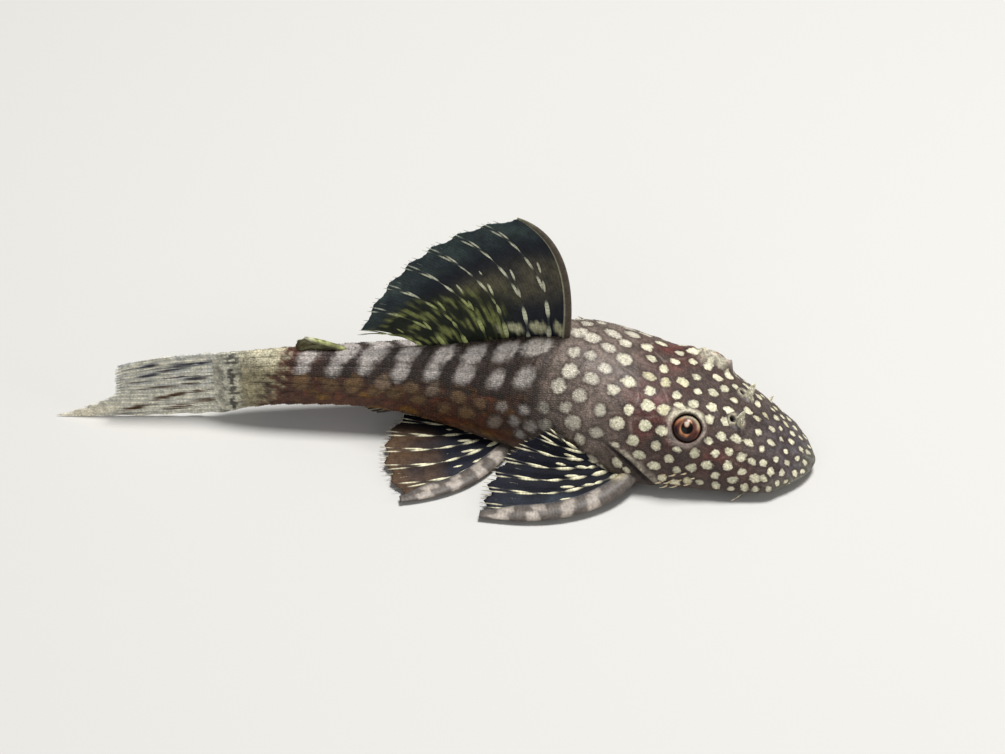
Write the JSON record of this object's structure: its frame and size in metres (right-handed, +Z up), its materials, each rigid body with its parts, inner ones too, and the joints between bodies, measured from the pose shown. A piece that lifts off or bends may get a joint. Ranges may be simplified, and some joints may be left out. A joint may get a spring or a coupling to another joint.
{
  "type": "bristlenose pleco, life-size resting model",
  "caption": "Armoured sucker-mouthed catfish resting on its flat belly, head turned to its right, dorsal fin raised and paired fins spread.",
  "frame": {"origin": "middle of the flat belly, on the level that the fish rests on, under the trunk between the pectoral and pelvic fins", "axes": "+X towards the head along the straight tail, +Y to the fish's left, +Z up"},
  "size_m": [0.0796, 0.0273, 0.0273],
  "materials": {
    "skin": "wet satin, brown with cream spots",
    "fin": "satin, smoky blue-black membrane with cream-dashed rays",
    "tail_fin": "satin, cream with grey streaks",
    "eye": "wet gloss, copper iris with a black pupil",
    "mouth": "soft, finely pimpled lips"
  },
  "bodies": {
    "root": {"head": "skin", "trunk": "skin", "tail_stalk": "skin", "eye_right": "eye", "eye_left": "eye", "mouth_disc": "mouth", "barbel_right": "skin", "barbel_left": "skin", "dorsal_fin": "fin", "adipose_fin": "fin", "anal_fin": "fin", "caudal_fin": "tail_fin", "pectoral_fin_right": "fin", "pectoral_fin_left": "fin", "pelvic_fin_right": "fin", "pelvic_fin_left": "fin"}
  },
  "joints": []
}
